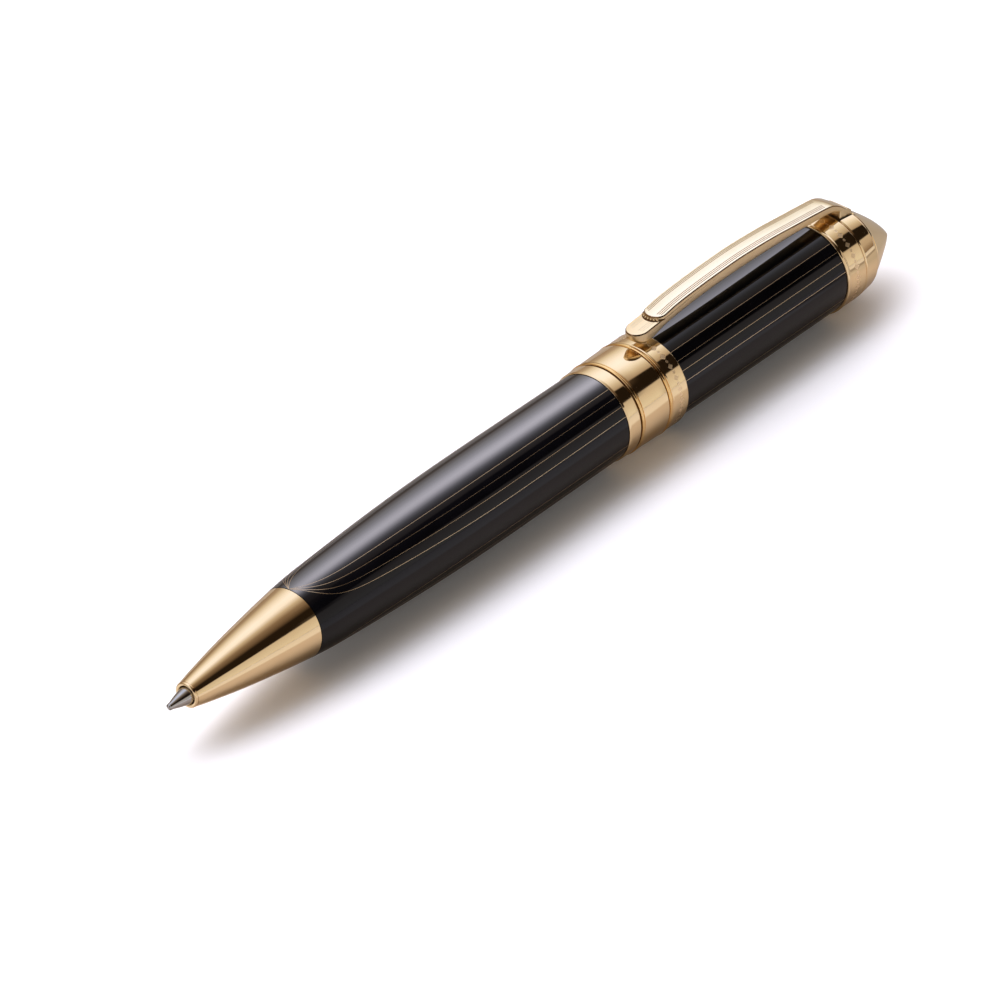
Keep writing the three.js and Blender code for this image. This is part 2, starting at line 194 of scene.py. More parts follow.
# Dark gold that stands for shade: painted shade low in the wire rings' grooves and on the strip under the
# clip leaf's front.
GOLD_SHADE = metal("gold_painted_shade", (0.16, 0.085, 0.03), (0.12, 0.06, 0.02), 0.35, 0.1)
GOLD_INLAY = metal("inlaid_gold", (0.56, 0.43, 0.29), (0.50, 0.38, 0.25), 0.28, 0.08, 0.05)
STEEL = metal("polished_steel", (0.52, 0.50, 0.475), (0.42, 0.405, 0.385), 0.09, 0.05)
SPRING_STEEL = metal("spring_steel", (0.55, 0.55, 0.56), (0.45, 0.45, 0.47), 0.25, 0.1)
BRASS = metal("turned_brass", (0.75, 0.56, 0.27), (0.66, 0.47, 0.21), 0.22, 0.1, 0.1, (1, 0.1, 0.1))
INK_TUBE = metal("ink_tube_metal", (0.72, 0.66, 0.52), (0.64, 0.57, 0.43), 0.2, 0.1)
GOLD_MATT = metal("stamped_gold", (0.94, 0.72, 0.45), (0.91, 0.69, 0.42), 0.30, 0.08, 0.05, (1, 1, 1))
LACQUER = lacquer_material()
PLASTIC = plastic_material("dark_plastic", (0.03, 0.03, 0.034), 0.45)
RUBBER = plastic_material("black_rubber", (0.012, 0.012, 0.012), 0.8)

# ---- mesh helpers ----
ROUND_STEPS = 224
SHARP = math.radians(32)


def rounded(profile, arc_steps=4):
    """A profile of (station, radius, corner) points with each corner rounded by an arc-like curve."""
    out = []
    count = len(profile)
    for i, (s, r, corner) in enumerate(profile):
        here = Vector((s, r))
        before = Vector(profile[i - 1][:2])
        after = Vector(profile[(i + 1) % count][:2])
        back = before - here
        ahead = after - here
        if corner <= 0:
            out.append(here)
            continue
        start = here + back.normalized() * min(corner, back.length * 0.49)
        finish = here + ahead.normalized() * min(corner, ahead.length * 0.49)
        for step in range(arc_steps + 1):
            t = step / arc_steps
            out.append(start * (1 - t) ** 2 + here * 2 * t * (1 - t) + finish * t ** 2)
    return out


def smooth_line(points, count):
    """Points on a smooth curve through (station, radius) points, evenly spaced by station."""
    out = []
    for k in range(count + 1):
        s = points[0][0] + (points[-1][0] - points[0][0]) * k / count
        out.append((s, radius_at(points, s)))
    return out


def radius_at(points, s):
    """The radius at a station on the Catmull-Rom curve through the points."""
    last = len(points) - 2
    i = next((k for k in range(last + 1) if s <= points[k + 1][0]), last)
    (s0, r0), (s1, r1) = points[i], points[i + 1]
    before = points[max(i - 1, 0)]
    after = points[min(i + 2, last + 1)]
    slope0 = (r1 - before[1]) / (s1 - before[0])
    slope1 = (after[1] - r0) / (after[0] - s0)
    if i == 0:
        slope0 = (r1 - r0) / (s1 - s0)
    if i == last:
        slope1 = (r1 - r0) / (s1 - s0)
    span = s1 - s0
    t = min(max((s - s0) / span, 0), 1)
    return (
        (2 * t ** 3 - 3 * t ** 2 + 1) * r0 + (t ** 3 - 2 * t ** 2 + t) * span * slope0
        + (3 * t ** 2 - 2 * t ** 3) * r1 + (t ** 3 - t ** 2) * span * slope1
    )


def finish_mesh(name, bm, material, sharp=SHARP):
    """A named object from a bmesh, shaded smooth but for its sharp edges."""
    bmesh.ops.recalc_face_normals(bm, faces=bm.faces)
    mesh = bpy.data.meshes.new(name)
    bm.to_mesh(mesh)
    bm.free()
    mesh.shade_smooth()
    mesh.set_sharp_from_angle(angle=sharp)
    obj = bpy.data.objects.new(name, mesh)
    bpy.context.scene.collection.objects.link(obj)
    mesh.materials.append(material)
    return obj


def place(obj, body, node, slot):
    """Makes the object ride on a body and stand for a CAD node; the slot is not used."""
    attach(obj, body)
    if node:
        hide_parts(node)
    return obj


def turned_mesh(profile, steps=ROUND_STEPS, shape=None):
    """A solid of revolution as a bmesh. shape(s, r, angle) may move each point's radius."""
    bm = bmesh.new()
    rings = []
    for s, r in profile:
        if r < 1e-6:
            rings.append([bm.verts.new(point(s, 0, 0))])
            continue
        ring = []
        for k in range(steps):
            angle = 2 * math.pi * k / steps
            radius = shape(s, r, angle) if shape else r
            ring.append(bm.verts.new(point(s, radius, angle)))
        rings.append(ring)
    closed = len(rings[0]) > 1
    pairs = list(zip(rings, rings[1:] + rings[:1])) if closed else list(zip(rings, rings[1:]))
    for first, second in pairs:
        for k in range(steps):
            nxt = (k + 1) % steps
            corners = [first[k % len(first)], first[nxt % len(first)],
                       second[nxt % len(second)], second[k % len(second)]]
            unique = list(dict.fromkeys(corners))
            if len(unique) > 2:
                bm.faces.new(unique)
    return bm


def turned(name, profile, material, body, node, slot, steps=ROUND_STEPS, shape=None, shade_under=0):
    """A turned piece from (station, radius) points. Faces under the radius shade_under look shaded."""
    bm = turned_mesh([(p[0], p[1]) for p in profile], steps, shape)
    for face in bm.faces:
        middle = face.calc_center_median()
        face.material_index = int(math.hypot(middle.y, middle.z - AXIS_Z) < shade_under * MM)
    obj = finish_mesh(name, bm, material)
    if shade_under:
        obj.data.materials.append(GOLD_SHADE)
    return place(obj, body, node, slot)


def ring_piece(name, node, body, bore, outline, material=GOLD, slot="gold_trim", steps=ROUND_STEPS,
               shape=None):
    """A ring from its bore and its outside as (station, radius, corner) points, front to back."""
    start, stop = outline[0][0], outline[-1][0]
    profile = rounded([(start, bore, 0), *outline, (stop, bore, 0)])
    return turned(name, profile, material, body, node, slot, steps, shape)


def strip(name, path, width, lift, sink, material, body, slot):
    """Thin inlaid lines as one mesh: each path is a list of (station, radius, angle) points."""
    bm = bmesh.new()
    for line in path:
        rows = []
        for i, (s, r, angle) in enumerate(line):
            before = line[max(i - 1, 0)]
            after = line[min(i + 1, len(line) - 1)]
            along = Vector((after[0] - before[0], (after[2] - before[2]) * r)).normalized()
            ds = -along.y * width / 2
            da = along.x * width / 2 / r
            row = [
                point(s - ds, r - sink, angle - da), point(s - ds, r + lift, angle - da),
                point(s, r + lift * 1.5, angle),
                point(s + ds, r + lift, angle + da), point(s + ds, r - sink, angle + da),
            ]
            rows.append([bm.verts.new(p) for p in row])
        size = len(rows[0])
        for first, second in zip(rows, rows[1:]):
            for k in range(size):
                nxt = (k + 1) % size
                bm.faces.new((first[k], first[nxt], second[nxt], second[k]))
        bm.faces.new(rows[0])
        bm.faces.new(rows[-1])
    return place(finish_mesh(name, bm, material), body, None, slot)


# ---- the camera ----

def make_camera():
    """A long lens from the front left, level with no roll."""
    azimuth = math.radians(-50.66)
    elevation = math.radians(34.25)
    distance = 0.94465
    aim = side_point(56.13, -2.55, 0)
    away = Vector((
        math.sin(azimuth) * math.cos(elevation),
        -math.cos(azimuth) * math.cos(elevation),
        math.sin(elevation),
    ))
    data = bpy.data.cameras.new("camera")
    data.lens = 288
    data.sensor_width = 36
    data.clip_start = 0.01
    camera = bpy.data.objects.new("camera", data)
    bpy.context.scene.collection.objects.link(camera)
    camera.location = aim + away * distance
    camera.rotation_euler = (-away).to_track_quat("-Z", "Y").to_euler()
    bpy.context.scene.camera = camera


# ---- the studio ----

def math_node(tree, operation, first, second=None):
    """A math node whose inputs are sockets or numbers."""
    node = tree.nodes.new("ShaderNodeMath")
    node.operation = operation
    for socket, value in zip(node.inputs, (first, second)):
        if value is None:
            continue
        if isinstance(value, (int, float)):
            socket.default_value = value
        else:
            tree.links.new(value, socket)
    return node.outputs[0]


def sky_colors(stops, brightest):
    """Ramp stops from (tilt in degrees, brightness). Dim parts of the studio are the warmer ones."""
    knee = 0.85
    out = []
    for degrees, value in stops:
        level = value if value < knee else knee + (value - knee) * 1.5
        blue = 0.40 + 0.65 * value + 1.3 * max(0.0, value - knee)
        color = (level, level * (0.64 + 0.40 * value), level * blue)
        out.append(((degrees + 180) / 360, tuple(c / brightest for c in color)))
    return out


def color_ramp(tree, value, stops):
    """A colour ramp from (position, colour) stops."""
    node = tree.nodes.new("ShaderNodeValToRGB")
    elements = node.color_ramp.elements
    while len(elements) < len(stops):
        elements.new(0.5)
    for element, (position, color) in zip(elements, stops):
        element.position = position
    for element, (position, color) in zip(elements, stops):
        element.color = (*color, 1)
    tree.links.new(value, node.inputs["Fac"])
    return node.outputs["Color"]


def make_world():
    """Long soft boxes parallel to the pen, with a dark card between them.

    Each stop is (tilt in degrees from straight up towards -Y, brightness). One set of stops is for
    straight overhead, one for further along +X, and one for the far end, low over the table.
    """
    along_pen = [
        (-180, 0.5), (-99, 0.36), (-85, 0.40), (-75, 0.50), (-63, 0.80), (-51, 0.96), (-39, 1.05),
        (-27, 1.08), (-15, 1.05), (-3, 0.93), (9, 0.70), (21.5, 0.43), (23, 0.015), (54.5, 0.015),
        (56.5, 0.60), (70, 0.72),
        (85, 0.82), (180, 0.5),
    ]
    far_end = along_pen[:14] + [(56.5, 0.60), (73, 0.52), (84, 0.34), (90, 0.27), (180, 0.3)]
    overhead = [
        (-180, 0.5), (-105, 0.36), (-92, 0.26), (-74, 0.31), (-59, 0.66), (-45, 0.93), (-30, 1.05),
        (-16, 1.02), (-1, 0.62), (13, 0.26), (28, 0.13), (37, 0.018), (61, 0.018), (63.5, 0.66),
        (75, 0.72), (90, 0.80),
        (180, 0.5),
    ]
    brightest = 1.4
    world = bpy.data.worlds.new("studio")
    bpy.context.scene.world = world
    world.use_nodes = True
    tree = world.node_tree
    background = tree.nodes["Background"]
    place_node = tree.nodes.new("ShaderNodeTexCoord")
    parts = tree.nodes.new("ShaderNodeSeparateXYZ")
    tree.links.new(place_node.outputs["Generated"], parts.inputs[0])
    minus_y = math_node(tree, "MULTIPLY", parts.outputs["Y"], -1)
    tilt = math_node(tree, "ARCTAN2", minus_y, parts.outputs["Z"])
    turn = ramp(tree, tilt, -math.pi, math.pi, 0, 1)
    mix = tree.nodes.new("ShaderNodeMix")
    mix.data_type = "RGBA"
    tree.links.new(ramp(tree, parts.outputs["X"], 0.40, 0.60, 0, 1), mix.inputs["Factor"])
    tree.links.new(color_ramp(tree, turn, sky_colors(overhead, brightest)), mix.inputs["A"])
    tree.links.new(color_ramp(tree, turn, sky_colors(along_pen, brightest)), mix.inputs["B"])
    last = tree.nodes.new("ShaderNodeMix")
    last.data_type = "RGBA"
    tree.links.new(ramp(tree, parts.outputs["X"], 0.66, 0.76, 0, 1), last.inputs["Factor"])
    tree.links.new(mix.outputs["Result"], last.inputs["A"])
    tree.links.new(color_ramp(tree, turn, sky_colors(far_end, brightest)), last.inputs["B"])
    tree.links.new(last.outputs["Result"], background.inputs["Color"])
    background.inputs["Strength"].default_value = brightest


def mixed(tree, factor, first, second):
    """A colour that goes from the first colour output to the second as factor goes from 0 to 1."""
    node = tree.nodes.new("ShaderNodeMix")
    node.data_type = "RGBA"
    tree.links.new(factor, node.inputs["Factor"])
    for name, color in (("A", first), ("B", second)):
        if isinstance(color, tuple):
            node.inputs[name].default_value = (*color, 1)
        else:
            tree.links.new(color, node.inputs[name])
    return node.outputs["Result"]


def make_floor():
    """A plain pale table top, evenly white to the camera. The pen's metal mirrors it a little duller, in
    bands by distance that are painted shade and light.

    Each band stop is (y in metres, colour). One set of bands lies beside the pen, the other beyond
    its finial; past the bands, towards -Y, the table has one distant tone.
    """
    seen = (0.95, 0.95, 0.94)
    distant = (0.64, 0.63, 0.61)
    distant_from, distant_to = -0.052, -0.06
    beyond_from, beyond_to = 0.068, 0.078
    span = 0.06
    # These tones are seen only in reflections: the warm dark band along the pen's -Y side is painted
    # shadow, the pale band just past its +Y side painted light, and the bands beyond the finial are
    # painted too.
    beside = [(-span, (0.64, 0.63, 0.61)), (-0.0285, (0.64, 0.63, 0.61)), (-0.0235, (0.50, 0.44, 0.385)),
              (0, (0.50, 0.44, 0.385)), (0.004, (0.66, 0.65, 0.64)), (0.012, (0.66, 0.65, 0.64)),
              (0.020, (0.34, 0.30, 0.255)), (span, (0.38, 0.34, 0.30))]
    beyond = [(-span, (0.27, 0.24, 0.21)), (-0.038, (0.27, 0.24, 0.21)), (-0.034, (0.42, 0.39, 0.34)),
              (-0.004, (0.36, 0.34, 0.30)), (0.002, (0.32, 0.30, 0.26)), (span, (0.32, 0.29, 0.25))]
    material, tree, shader = new_material("table", seen, 0, 0.7)
    shader.inputs["Specular IOR Level"].default_value = 0
    place_node = tree.nodes.new("ShaderNodeTexCoord")
    parts = tree.nodes.new("ShaderNodeSeparateXYZ")
    tree.links.new(place_node.outputs["Object"], parts.inputs[0])
    along, across = parts.outputs["X"], parts.outputs["Y"]
    reach = ramp(tree, across, -span, span, 0, 1)
    near_pen, near_finial = [
        color_ramp(tree, reach, [((y + span) / (2 * span), color) for y, color in bands])
        for bands in (beside, beyond)
    ]
    tone = mixed(tree, ramp(tree, along, beyond_from, beyond_to, 0, 1), near_pen, near_finial)
    tone = mixed(tree, ramp(tree, across, distant_from, distant_to, 0, 1), tone, distant)
    path = tree.nodes.new("ShaderNodeLightPath")
    tone = mixed(tree, path.outputs["Is Camera Ray"], tone, seen)
    tree.links.new(tone, shader.inputs["Base Color"])
    bm = bmesh.new()
    bmesh.ops.create_circle(bm, cap_ends=True, segments=96, radius=1.2)
    mesh = bpy.data.meshes.new("table_top")
    bm.to_mesh(mesh)
    bm.free()
    floor = bpy.data.objects.new("table_top", mesh)
    floor.location.z = -0.00003
    mesh.materials.append(material)
    bpy.context.scene.collection.objects.link(floor)
    return floor


def light_only(light, receivers):
    """Limits a light to some objects."""
    group = bpy.data.collections.new(light.name + "_lights_up")
    for obj in receivers:
        group.objects.link(obj)
    light.light_linking.receiver_collection = group


def front_fill(power, receivers):
    """A weak soft light from the front that opens up the pen's shadow."""
    data = bpy.data.lights.new("front_fill", "AREA")
    data.shape = "RECTANGLE"
    data.size, data.size_y = 0.8, 0.4
    data.energy = power
    light = bpy.data.objects.new("front_fill", data)
    bpy.context.scene.collection.objects.link(light)
    away = Vector((-0.35, -0.7, 0.62)).normalized()
    light.location = away * 0.8
    light.rotation_euler = away.to_track_quat("Z", "Y").to_euler()
    light_only(light, receivers)


def soft_box(name, power, receivers):
    """A long soft box behind the pen that fades towards both long edges and lights only some pieces.

    Each stop is (tilt in degrees from straight up towards -Y, brightness).
    """
    stops = [(-80, 0.02), (-69, 0.08), (-57, 0.21), (-47, 0.42), (-39, 0.70), (-30, 1.0), (-23, 0.98),
             (-16, 0.62), (-9, 0.24), (-3, 0.07), (4, 0.01)]
    middle, half_angle, distance, length = -38, 42, 0.6, 1.5
    width = 2 * distance * math.tan(math.radians(half_angle))
    data = bpy.data.lights.new(name, "AREA")
    data.shape = "RECTANGLE"
    data.size = length
    data.size_y = width
    data.energy = power
    data.use_nodes = True
    tree = data.node_tree
    emission = tree.nodes["Emission"]
    cool = (1.0, 0.965, 1.02)
    place_node = tree.nodes.new("ShaderNodeTexCoord")
    parts = tree.nodes.new("ShaderNodeSeparateXYZ")
    tree.links.new(place_node.outputs["UV"], parts.inputs[0])
    placed = []
    for degrees, value in reversed(stops):
        offset = math.tan(math.radians(degrees - middle)) / math.tan(math.radians(half_angle))
        placed.append(((1 - offset) / 2, tuple(value * c for c in cool)))
    tree.links.new(color_ramp(tree, parts.outputs["Y"], placed), emission.inputs["Color"])
    light = bpy.data.objects.new(name, data)
    bpy.context.scene.collection.objects.link(light)
    angle = math.radians(middle)
    away = Vector((0, -math.sin(angle), math.cos(angle)))
    light.location = away * distance
    side = Vector((1, 0, 0))
    up = away.cross(side)
    light.matrix_world = Matrix((
        (side.x, up.x, away.x, light.location.x),
        (side.y, up.y, away.y, light.location.y),
        (side.z, up.z, away.z, light.location.z),
        (0, 0, 0, 1),
    ))
    light_only(light, receivers)


# ---- the refill ----

def writing_ball():
    """The ball in the tip's socket."""
    low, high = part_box("writing_ball")
    radius = (high[2] - low[2]) / 2 / MM * 0.995
    count = 24
    profile = [(-radius * math.cos(math.pi * k / count), radius * math.sin(math.pi * k / count))
               for k in range(count + 1)]
    turned("ball", profile, STEEL, "ball", "writing_ball", "steel", 48)


def refill_tip():
    """The tip's ground cone, its shank and the collar that the spring pushes on."""
    outline = [(-0.16, 0.4, 0.03), (0.3, 0.47, 0.1), (1.5, 0.82, 0.5), (2.8, 1.1, 0.4), (4.2, 1.12, 0.4),
               (9.2, 1.12, 0.1), (10, 1.5, 0.1), (20.3, 1.5, 0.05), (20.3, 2.2, 0.1), (20.8, 2.2, 0.1),
               (20.8, 1.5, 0), (24, 1.5, 0)]
    bore = [(24, 0.6, 0), (2, 0.6, 0), (1, 0.25, 0), (0.45, 0.25, 0), (0.2, 0.38, 0), (-0.05, 0.38, 0),
            (-0.16, 0.345, 0)]
    turned("tip", rounded(outline + bore), STEEL, "refill", "refill_tip", "steel", 96)


def refill_tube():
    """The ink tube with a formed shoulder and a crimped groove near its rear."""
    outline = [(20.85, 2.5, 0.2), (21.4, 2.93, 0.4), (90.2, 2.93, 0.2), (90.6, 2.82, 0.2),
               (91.0, 2.93, 0.2), (93.55, 2.93, 0.1)]
    bore = [(93.55, 2.7, 0), (25, 2.7, 0), (24, 1.56, 0), (20.85, 1.56, 0)]
    turned("ink_tube", rounded(outline + bore), INK_TUBE, "refill", "refill_tube", "refill_metal", 96)


def coil_mesh(name, start, stop, radius, wire, turns, material):
    """A closed wire wound round the pen's axis, its turns closest at a quarter and three quarters."""
    bm = bmesh.new()
    steps = turns * 40
    sides = 12
    rows = []

    def centre(i):
        t = i / steps
        eased = t + 0.045 * math.sin(4 * math.pi * t)
        angle = 2 * math.pi * turns * t
        return point(start + (stop - start) * eased, radius, angle)

    for i in range(steps + 1):
        here = centre(i)
        ahead = (centre(i + 0.5) - centre(i - 0.5)).normalized()
        axis_point = Vector((here.x, 0, AXIS_Z))
        out = (here - axis_point).normalized()
        side = ahead.cross(out).normalized()
        rows.append([
            bm.verts.new(here + (out * math.cos(a) + side * math.sin(a)) * wire * MM)
            for a in (2 * math.pi * k / sides for k in range(sides))
        ])
    for first, second in zip(rows, rows[1:]):
        for k in range(sides):
            nxt = (k + 1) % sides
            bm.faces.new((first[k], first[nxt], second[nxt], second[k]))
    bm.faces.new(rows[0])
    bm.faces.new(rows[-1])
    return finish_mesh(name, bm, material, math.radians(60))


def return_spring():
    """The spring round the refill's neck. Its front keeps its place as the refill draws back."""
    start, stop = 9.45, 20.1
    spring = coil_mesh("spring", start, stop, 1.95, 0.17, 8, SPRING_STEEL)
    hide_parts("return_spring")
    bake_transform(spring)


# ---- the lower half ----
NOSE = [(3.1, 1.66), (4.5, 1.97), (6, 2.26), (9, 2.82), (12, 3.31), (15, 3.75), (18, 4.17), (21.28, 4.58)]
LOWER = [(21.37, 4.6), (24, 4.86), (27, 5.06), (31, 5.27), (36, 5.5), (42, 5.73), (48, 5.88),
         (54, 5.94), (62, 5.93), (76.43, 5.87)]
UPPER = [(87.67, 5.88), (98, 5.93), (109, 5.98), (119.23, 5.99)]


def nose_cone():
    """Gold nose: a rolled lip round the refill's tip, then a slightly bellied cone."""
    lip_s, lip_r, lip_size = 3.0, 1.41, 0.25
    lip = [(lip_s - lip_size * math.cos(a), lip_r + lip_size * math.sin(a))
           for a in (math.radians(d) for d in range(-80, 121, 20))]
    cone = smooth_line(NOSE, 60)
    thread = [(21.28, 3.9), (27.5, 3.9), (27.5, 3.35), (17, 3.35), (16, 2.35), (9.2, 2.35), (9.2, 1.3),
              (3.5, 1.3), (3.5, 1.15), (3.15, 1.15)]
    turned("nose", lip + cone + thread, GOLD, "lower_half", "nose_cone", "gold_trim")


def lower_barrel():
    """Black lacquered barrel, swelling from the nose to the middle."""
    outside = smooth_line(LOWER, 96)
    bore = [(76.43, 5.1), (63.8, 5.1), (63.8, 4.5), (28.5, 4.5), (28, 3.96), (21.37, 3.96)]
    return turned("lower_barrel_body", outside + bore, LACQUER, "lower_half", "lower_barrel", "lacquer")


PINSTRIPE_ANGLES = [math.radians(a) for a in (-71, -58, -45, -32, 32, 45, 58, 71)]
STRIPE_WIDTH = 0.065
STRIPE_LIFT = 0.004
STRIPE_SINK = 0.03


def lower_pinstripes():
    """Inlaid gold lines that run straight down the barrel, then sweep together at the nose."""
    pattern_turn = math.radians(-5.4)
    gather = 2.2
    front, back = LOWER[0][0], LOWER[-1][0]
    widest = max(r for s, r in LOWER)
    lines = []
    for side in (0, math.pi):
        for offset in PINSTRIPE_ANGLES:
            line = []
            count = 150
            for k in range(count + 1):
                s = front + (back - front) * (k / count) ** 1.8
                radius = radius_at(LOWER, s)
                spread = offset * radius / widest * (1 - math.exp(-(s - front - 0.02) / gather))
                line.append((s, radius, side + pattern_turn + spread))
            lines.append(line)
    strip("lower_pinstripes", lines, STRIPE_WIDTH, STRIPE_LIFT, STRIPE_SINK, GOLD_INLAY,
          "lower_half", "gold_trim")


def front_trim_ring():
    """Plain ring between the lower barrel and the turning line."""
    ring_piece("front_ring", "front_trim_ring", "lower_half", 5.1,
               [(76.5, 5.96, 0.05), (76.75, 6.03, 0.1), (78.5, 6.07, 0.06), (78.6, 5.98, 0.03)])


def thread_bush():
    """Brass bush whose thread holds the lower half on."""
    thread_front, thread_back, pitch = 66, 78, 0.75
    steps = int((thread_back - thread_front) / pitch)
    thread = []
    for k in range(steps, 0, -1):
        s = thread_front + k * pitch
        thread += [(s, 4.45), (s - pitch / 2, 4.62)]
    profile = [(64, 4.6), (64, 5.05), (78.3, 5.05), (78.3, 4.45)] + thread + [(65.6, 4.6)]
    turned("thread_bush", profile, BRASS, "lower_half", "barrel_thread_bush", "brass", 96)


# ---- the twist mechanism ----

def turning_washer():
    """Bright wire ring on the turning line, in its groove; its faces low in the groove are painted dark
    as shade.
    """
    wire_s, wire_r, wire = 79.03, 5.98, 0.21
    arc = [(wire_s - wire * math.cos(a), wire_r + wire * math.sin(a))
           for a in (math.radians(d) for d in range(-40, 221, 10))]
    profile = [(78.66, 4.12), (78.66, 5.6)] + arc + [(79.24, 5.6), (79.24, 4.12)]
    turned("turning_ring", profile, GOLD_WIRE, "mechanism", "turning_washer", "gold_trim",
           shade_under=5.9)


def cutter(name, size, location, bevel=0.0):
    """A box used only to cut another piece, in metres, with its edges rounded by bevel."""
    bm = bmesh.new()
    bmesh.ops.create_cube(bm, size=1)
    for vert in bm.verts:
        vert.co = Vector((vert.co.x * size[0], vert.co.y * size[1], vert.co.z * size[2])) + location
    if bevel:
        bmesh.ops.bevel(bm, geom=bm.edges[:], offset=bevel, segments=4, profile=0.5, affect="EDGES")
    mesh = bpy.data.meshes.new(name)
    bm.to_mesh(mesh)
    bm.free()
    obj = bpy.data.objects.new(name, mesh)
    bpy.context.scene.collection.objects.link(obj)
    return obj


def cut_away(obj, tools):
    """Cuts each tool out of the object, then removes the tools."""
    for tool in tools:
        modifier = obj.modifiers.new("cut", "BOOLEAN")
        modifier.operation = "DIFFERENCE"
        modifier.solver = "EXACT"
        modifier.object = tool
    bpy.context.view_layer.update()
    evaluated = obj.evaluated_get(bpy.context.evaluated_depsgraph_get())
    mesh = bpy.data.meshes.new_from_object(evaluated)
    obj.modifiers.clear()
    old = obj.data
    obj.data = mesh
    bpy.data.meshes.remove(old)
    for tool in tools:
        bpy.data.objects.remove(tool)
    mesh.shade_smooth()
    mesh.set_sharp_from_angle(angle=SHARP)


def mechanism_housing():
    """Brass housing with the thread that the lower half screws on and two straight slots."""
    pitch = 0.75
    thread = [(66.3, 3.4), (66.3, 3.95), (66.7, 4.28)]
    for k in range(14):
        s = 67 + k * pitch
        thread += [(s, 4.28), (s + pitch * 0.35, 4.1), (s + pitch * 0.65, 4.1), (s + pitch, 4.28)]
    rest = [(78.3, 4.28), (78.3, 4.05), (90, 4.05), (90, 3.75), (91, 3.75), (91, 4.05),
            (110.6, 4.05), (110.6, 3.4)]
    bm = turned_mesh(thread + rest, 96)
    housing = finish_mesh("housing", bm, BRASS)
    slot = cutter("slot", (0.0078, 0.012, 0.0018), side_point(104.2, 0, 0))
    cut_away(housing, [slot])
    place(housing, "mechanism", "mechanism_housing", "brass")


# ---- the upper half ----

MOTIFS = 26
STAMP_DEPTH = 0.007


def stamped(s, angle, radius, middle, first):
    """True where the band's plain lozenges and the single dots between them lie, a lozenge at first."""
    around = ((angle - first) / (2 * math.pi) * MOTIFS + 0.5) % 1 - 0.5
    pitch = 2 * math.pi * radius / MOTIFS
    along = s - middle
    if abs(along) / 0.42 + abs(around * pitch) / 0.40 < 1:
        return True
    return math.hypot(along, (abs(around) - 0.5) * pitch) < 0.2


def dense(profile, step):
    """A profile with extra points along the long straight stretch of its outside."""
    out = []
    for first, second in zip(profile, profile[1:] + profile[:1]):
        out.append(first)
        outward = min(first[1], second[1]) > 5.5
        if outward and second[0] - first[0] > step:
            count = int((second[0] - first[0]) / step)
            rise = second[1] - first[1]
            run = second[0] - first[0]
            out += [(first[0] + run * k / count, first[1] + rise * k / count) for k in range(1, count)]
    return out


def engraved_ring(name, node, bore, outline, middle, first_degrees):
    """A ring whose outside carries the stamped band, its stamped places satin and slightly sunk."""
    first = math.radians(first_degrees)

    def shape(s, r, angle):
        sunk = r > 5.5 and stamped(s, angle, r, middle, first)
        return r - STAMP_DEPTH if sunk else r

    start, stop = outline[0][0], outline[-1][0]
    profile = [(p[0], p[1]) for p in rounded([(start, bore, 0), *outline, (stop, bore, 0)])]
    bm = turned_mesh(dense(profile, 0.05), 1040, shape)
    for face in bm.faces:
        place_in = face.calc_center_median()
        y, z = -place_in.y / MM, (place_in.z - AXIS_Z) / MM
        radius = math.hypot(y, z)
        if radius > 5.5 and stamped(station(place_in.x), math.atan2(y, z), radius, middle, first):
            face.material_index = 1
    obj = finish_mesh(name, bm, GOLD, math.radians(50))
    obj.data.materials.append(GOLD_MATT)
    place(obj, "upper_half", node, "gold_trim")


def centre_rings():
    """The plain band, the wire ring behind it and the engraved ring that meets the barrel."""
    ring_piece("band", "centre_band", "upper_half", 5.1,
               [(79.32, 6.0, 0.03), (79.4, 6.13, 0.05), (83.8, 6.23, 0.08), (83.98, 6.02, 0.04)])
    wire_s, wire_r, wire = 84.29, 6.06, 0.225
    arc = [(wire_s - wire * math.cos(a), wire_r + wire * math.sin(a))
           for a in (math.radians(d) for d in range(-40, 221, 10))]
    # The wire's faces below radius 6.0, down between the band and the rear ring, are painted dark as
    # shade.
    turned("wire", [(83.99, 5.1), (83.99, 5.8)] + arc + [(84.59, 5.8), (84.59, 5.1)], GOLD_WIRE,
           "upper_half", "wire_ring", "gold_trim", shade_under=6.0)
    engraved_ring("rear_ring", "rear_trim_ring", 5.1,
                  [(84.6, 5.98, 0.04), (84.76, 6.2, 0.08), (87.42, 6.24, 0.06), (87.6, 6.1, 0.05)],
                  86.13, 45.2)


def upper_barrel():
    """Black lacquered barrel behind the rings."""
    outside = smooth_line(UPPER, 24)
    bore = [(119.23, 5.1), (87.67, 5.1)]
    return turned("upper_barrel_body", outside + bore, LACQUER, "upper_half", "upper_barrel", "lacquer")


def upper_pinstripes():
    """Straight inlaid gold lines along the upper barrel."""
    front, back = UPPER[0][0], UPPER[-1][0]
    lines = []
    for side in (0, math.pi):
        for offset in PINSTRIPE_ANGLES:
            line = []
            for k in range(25):
                s = front + (back - front) * k / 24
                line.append((s, radius_at(UPPER, s), side + offset))
            lines.append(line)
    strip("upper_pinstripes", lines, STRIPE_WIDTH, STRIPE_LIFT, STRIPE_SINK, GOLD_INLAY,
          "upper_half", "gold_trim")


def inner_sleeves():
    """Turned brass pieces inside the upper half."""
    ring_piece("carrier_tube", "ring_carrier", "upper_half", 4.25,
               [(79.35, 5.05, 0.1), (94.8, 5.05, 0.1)], BRASS, "brass", 96)
    ring_piece("plug", "rear_plug", "upper_half", 1.55,
               [(113.2, 5.05, 0.2), (119.2, 5.05, 0.05), (119.2, 3.2, 0.05), (123.0, 3.2, 0.1)],
               BRASS, "brass", 96)


